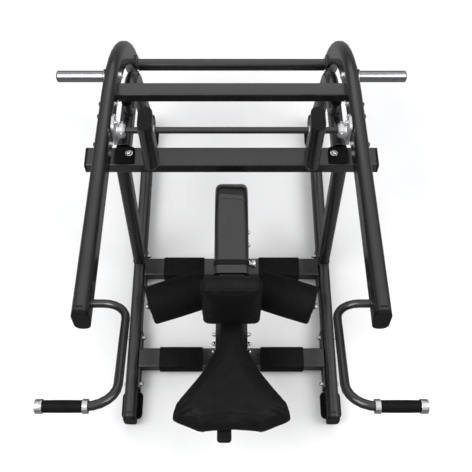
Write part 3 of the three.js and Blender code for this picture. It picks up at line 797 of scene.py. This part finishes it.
def pull_pin():
    low, _, middle = box_of("pad_pull_pin")
    origin = Vector((low.x, middle.y, middle.z))
    bm = bmesh.new()
    barrel = [(15, 0), (15, 6), (13.6, 7.4), (8, 7.6), (8, 10.4), (16, 10.8), (20, 11.4)]
    for k in range(4):
        barrel += [(21, 12.4 + k * 1.6), (20.2, 13.2 + k * 1.6)]
    barrel += [(17.4, 19.6), (17.4, 21), (21, 21.6), (21, 25), (19.6, 27), (16, 28), (4, 28.2)]
    turned(bm, barrel, origin, X, 44)
    pin = make("pull_pin_knob", bm, "pull_pin", CHROME, 40)
    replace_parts(pin, "pad_pull_pin")


def seat_lever_paddle():
    low, high, middle = box_of("seat_lever")
    size = high - low
    rings = []
    for k in range(13):
        share = k / 12
        y = low.y + size.y * share
        swell = math.sin(math.pi * min(1.0, share / 0.5) / 2) if share < 0.12 else 1.0
        ease = 0.72 + 0.28 * min(1.0, share / 0.12) ** 0.5
        dip = 2.4 * MM * math.sin(math.pi * min(1.0, share / 0.6))
        thick = (size.z - dip) * (0.6 + 0.4 * min(1.0, share / 0.1))
        centre = Vector((middle.x, y, middle.z - dip / 2 * swell))
        rings.append(rounded_loop(centre, X, Z, size.x * ease, thick, thick * 0.42, 5))
    bm = bmesh.new()
    skin(bm, rings)
    paddle = make("seat_lever_paddle", bm, "seat_release", PLASTIC, 60)
    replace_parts(paddle, "seat_lever")


def rest_stops():
    for _, label in SIDES:
        low, high, middle = box_of(f"rest_stop_{label}")
        height = (high.z - low.z) / MM
        neck = height - STOP_BUFFER
        origin = Vector((middle.x, middle.y, low.z))
        bm = bmesh.new()
        turned(bm, [(27, 0), (27, 5), (25.6, 7), (17, 9), (15, 13), (15, neck), (10, neck)], origin, Z, 40)
        make(f"rest_stop_stem_{label}", bm, "frame", PAINT)
        bm = bmesh.new()
        head = [(10, neck), (19, neck), (23.4, height - 42), (24, height - 38), (22.4, height - 30)]
        head += [(21.6, height - 24), (22.6, height - 18), (24, height - 11), (23.6, height - 5)]
        head += [(21, height - 1.4), (16, height - 0.2), (4, height)]
        turned(bm, head, origin, Z, 44)
        rubber_head = make(f"rest_stop_buffer_{label}", bm, "frame", SLEEVE, 60)
        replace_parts(rubber_head, f"rest_stop_{label}")


# ---------------------------------------------------------------- added fittings
def frame_bolts():
    """Bolts, nuts, flanges and lugs on the rails, crossbars, end tube, seat plates and pad plate."""
    for side, label in SIDES:
        rail_low, rail_high, rail = box_of(f"rail_{label}")
        inner = rail_high.x if side < 0 else rail_low.x
        outer = rail_low.x if side < 0 else rail_high.x
        for place, offsets in (("front", (-122, 118)), ("rear", (82,))):
            _, _, cross = box_of(f"floor_crossbar_{place}")
            bm = bmesh.new()
            length = 300 * MM if place == "front" else 220 * MM
            against = Vector((inner - side * 4 * MM, cross.y, rail.z))
            plate(bm, against, Y, Z, length, 78 * MM, 12 * MM, 8 * MM)
            make(f"crossbar_flange_{place}_{label}", bm, "frame", PAINT)
            for k, along in enumerate(offsets):
                spot = Vector((inner - side * 8 * MM, cross.y + along * MM, rail.z + 6 * MM))
                acorn(f"rail_nut_{place}_{label}_{k}", spot, X * -side, "frame", 9.5)
                bolt(f"rail_bolt_{place}_{label}_{k}", Vector((outer, spot.y, spot.z)), X * side, "frame", 9)
        _, top_high, top = box_of("top_crossbar")
        bm = bmesh.new()
        lug = Vector((side * LUG_X, top.y, top_high.z + 7 * MM))
        plate(bm, lug, X, Y, 88 * MM, 86 * MM, 16 * MM, 14 * MM, 3 * MM)
        make(f"crossbar_lug_{label}", bm, "frame", SLEEVE)
        bolt(f"crossbar_lug_bolt_{label}", lug + Vector((-side * 20 * MM, 6 * MM, 7 * MM)), Z, "frame", 12)
        _, _, end_tube = box_of("lever_end_tube")
        arm_low, arm_high, _ = box_of(f"arm_{label}")
        arm_inner = arm_high.x if side < 0 else arm_low.x
        bm = bmesh.new()
        flange = Vector((arm_inner - side * 5 * MM, end_tube.y, end_tube.z))
        plate(bm, flange, Y, Z, 84 * MM, 84 * MM, 22 * MM, 10 * MM)
        make(f"end_tube_flange_{label}", bm, "lever", PAINT)
        for k, lift in enumerate((-34, 34)):
            spot = flange + Vector((-side * 5 * MM, lift * MM, lift * 0.2 * MM))
            bolt(f"end_tube_bolt_{label}_{k}", spot, X * -side, "lever", 8)
        _, carriage_high, _ = box_of("seat_carriage")
        column = box_of("seat_column")[2]
        for k, along in enumerate((-78, -42, 4)):
            spot = Vector((side * 72 * MM, column.y + along * MM, carriage_high.z - 62 * MM))
            acorn(f"seat_plate_bolt_{label}_{k}", spot, X * side, "seat_slide", 9.5)
    beam_low, beam_high, _ = box_of("centre_frame")
    for k, along in enumerate((110, 171)):
        spot = Vector((beam_high.x, beam_low.y + along * MM, beam_high.z - 45 * MM))
        bolt(f"beam_bolt_{k}", spot, X, "frame", 8)
    pad_low, _, pad_plate = box_of("pad_slide")
    for k, lift in enumerate((-120, 20)):
        for j, offset in enumerate((-34, 34)):
            spot = Vector((offset * MM, pad_low.y + 10.2 * MM, pad_plate.z + lift * MM))
            bolt(f"pad_plate_bolt_{k}_{j}", spot, Y, "pad_carriage", 6)


def beam_collar():
    """A moulded guide round the centre frame's front end, where the pad's tube leaves it."""
    low, high, _ = box_of("centre_frame")
    width, height = 2 * high.x, 90 * MM
    centre = Vector((0, low.y, high.z - height / 2))
    rings = []
    steps = [(-1.4, -1, 22), (-1.6, 1.5, 24), (0, 3.5, 26), (16, 3.5, 26), (20, 2.4, 26), (21, 0.3, 24)]
    for along, grow, radius in steps:
        span = 2 * grow * MM
        rings.append(rounded_loop(centre + Y * along * MM, X, Z, width + span, height + span, radius * MM))
    rings.append(rounded_loop(centre - Y * 0.2 * MM, X, Z, width - 0.6 * MM, height - 0.6 * MM, 23 * MM))
    rings.append(rounded_loop(centre - Y * 0.2 * MM, X, Z, width - 10 * MM, height - 10 * MM, 18 * MM))
    rings.append(rounded_loop(centre - Y * 1.2 * MM, X, Z, width - 10 * MM, height - 10 * MM, 18 * MM))
    bm = bmesh.new()
    skin(bm, rings, closed=True)
    make("beam_collar", bm, "frame", PLASTIC, 50)


def welds():
    """Beads where the tubes meet."""
    slanted_end = (60 * MM, 92 * MM, 24 * MM)
    for side, label in SIDES:
        low, high, middle = box_of(f"upright_{label}")
        foot = Vector((middle.x, low.y + 44 * MM, low.z + WELD_LIFT))
        head = Vector((middle.x, high.y - 44 * MM, high.z - WELD_LIFT))
        weld(f"weld_upright_foot_{label}", rounded_loop(foot, X, Y, *slanted_end), "frame")
        weld(f"weld_upright_head_{label}", rounded_loop(head, X, Y, *slanted_end), "frame")
        low, high, middle = box_of(f"pivot_post_{label}")
        base = Vector((middle.x, middle.y, low.z + WELD_LIFT))
        weld(f"weld_post_{label}", rounded_loop(base, X, Y, 60 * MM, 120 * MM, 29 * MM), "frame")
        low, high, middle = box_of(f"rear_leg_{label}")
        start = Vector((middle.x, low.y, box_of("top_crossbar")[2].z))
        weld(f"weld_leg_top_{label}", rounded_loop(start, X, Z, 60 * MM, 96 * MM, 24 * MM), "frame")
        foot = Vector((middle.x, high.y - 50 * MM, low.z + WELD_LIFT))
        weld(f"weld_leg_foot_{label}", rounded_loop(foot, X, Y, 60 * MM, 100 * MM, 24 * MM), "frame")
        arm_low, arm_high, _ = box_of(f"arm_{label}")
        inner = arm_high.x if side < 0 else arm_low.x
        low, high, middle = box_of(f"handle_{label}")
        root = Vector((inner - side * MM, high.y - 15 * MM, low.z + 15 * MM))
        weld(f"weld_handle_{label}", rounded_loop(root, Y, Z, 31 * MM, 31 * MM, 15.5 * MM), "lever")
        _, _, tie = box_of("lever_crossbar")
        end = Vector((inner - side * MM, tie.y, tie.z))
        weld(f"weld_lever_crossbar_{label}", rounded_loop(end, Y, Z, 70 * MM, 50 * MM, 8 * MM), "lever")
        _, _, tube = box_of("lever_end_tube")
        end = Vector((inner - side * 11 * MM, tube.y, tube.z))
        weld(f"weld_end_tube_{label}", rounded_loop(end, Y, Z, 61 * MM, 61 * MM, 30 * MM), "lever")
    low, high, middle = box_of("centre_frame")
    base = Vector((0, box_of("floor_crossbar_rear")[2].y, low.z + WELD_LIFT))
    weld("weld_centre_frame", rounded_loop(base, X, Y, 2 * high.x, 90 * MM, 24 * MM), "frame")
    low, high, middle = box_of("seat_column")
    base = Vector((0, middle.y, low.z + WELD_LIFT))
    weld("weld_seat_column", rounded_loop(base, X, Y, 80 * MM, 80 * MM, 8 * MM), "frame")


dress_cad_nodes()
chest_pad()
saddle()
thigh_rollers()
foot_sleeves()
rubber_feet()
plug_tabs()
grips()
plate_horns()
hubs()
pull_pin()
seat_lever_paddle()
rest_stops()
frame_bolts()
beam_collar()
welds()


# ---------------------------------------------------------------- stage, lights, camera
FLOOR_REACH = 14.0
FLOOR_DROP = 0.0005              # below the feet, so the two never share a plane
MIRRORED_FLOOR = (0.2, 0.2, 0.2)
SKY_TO_CAMERA = 0.9
SKY_RAMP = (("From Min", 0.0), ("From Max", 0.9), ("To Min", 0.12), ("To Max", 1.1))
AIM = Vector((0, 0, 0.6))
LAMPS = (
    ("key", (-2.6, -1.6, 4.6), 2.6, 120),
    ("fill", (3.0, -1.0, 3.8), 2.4, 80),
    ("back", (0.0, 4.2, 3.4), 3.0, 14),
)
CAMERA_PLACE = (0, -1.692, 3.571)
CAMERA_TILT = 60.64              # degrees below level
CAMERA_LENS = 56.4
CAMERA_SHIFT = 0.0095


def stage():
    """A pale floor, a sky and three lamps.

    Reflections see a darker floor than the camera does, and the sky is evenly pale to the camera alone.
    Under plain lighting the paint would look brighter on faces turned to the floor.
    """
    floor_look = Shader("pale_floor")
    patches = floor_look.spread(floor_look.noise(0.4), 0, 1)
    tone = floor_look.mix(patches, (0.86, 0.86, 0.86), (0.9, 0.9, 0.9))
    mirrored = floor_look.add("ShaderNodeLightPath").outputs["Is Glossy Ray"]
    floor_look.finish(floor_look.mix(mirrored, tone, MIRRORED_FLOOR), 0.8)
    bm = bmesh.new()
    quarters = ((-1, -1), (1, -1), (1, 1), (-1, 1))
    corners = [(x * FLOOR_REACH, y * FLOOR_REACH, -FLOOR_DROP) for x, y in quarters]
    bm.faces.new([bm.verts.new(corner) for corner in corners])
    mesh = bpy.data.meshes.new("floor")
    bm.to_mesh(mesh)
    bm.free()
    mesh.materials.append(floor_look.material)
    floor = bpy.data.objects.new("floor", mesh)
    bpy.context.scene.collection.objects.link(floor)
    world = bpy.data.worlds.new("studio")
    bpy.context.scene.world = world
    world.use_nodes = True
    tree = world.node_tree
    sky = tree.nodes["Background"]
    sky.inputs["Color"].default_value = (0.98, 0.985, 1.0, 1)
    height = tree.nodes.new("ShaderNodeSeparateXYZ")
    tree.links.new(tree.nodes.new("ShaderNodeTexCoord").outputs["Generated"], height.inputs["Vector"])
    ramp = tree.nodes.new("ShaderNodeMapRange")
    for key, number in SKY_RAMP:
        ramp.inputs[key].default_value = number
    tree.links.new(height.outputs["Z"], ramp.inputs["Value"])
    seen = tree.nodes.new("ShaderNodeMix")
    seen.inputs["B"].default_value = SKY_TO_CAMERA
    ray = tree.nodes.new("ShaderNodeLightPath")
    tree.links.new(ray.outputs["Is Camera Ray"], seen.inputs["Factor"])
    tree.links.new(ramp.outputs["Result"], seen.inputs["A"])
    tree.links.new(seen.outputs["Result"], sky.inputs["Strength"])
    bpy.context.scene.view_settings.view_transform = "Standard"
    for name, place, size, energy in LAMPS:
        light = bpy.data.lights.new(name, "AREA")
        light.size = size
        light.energy = energy
        lamp = bpy.data.objects.new(name, light)
        lamp.location = place
        lamp.rotation_euler = (AIM - Vector(place)).to_track_quat("-Z", "Y").to_euler()
        bpy.context.scene.collection.objects.link(lamp)


def front_camera():
    """The camera in front of the machine and above it, looking steeply down."""
    data = bpy.data.cameras.new("camera")
    data.sensor_width = 36.0
    data.lens = CAMERA_LENS
    data.shift_x = CAMERA_SHIFT
    camera = bpy.data.objects.new("camera", data)
    camera.location = CAMERA_PLACE
    tilt = math.radians(CAMERA_TILT)
    camera.rotation_euler = (math.pi / 2 - tilt, 0, 0)
    bpy.context.scene.collection.objects.link(camera)
    bpy.context.scene.camera = camera


stage()
front_camera()
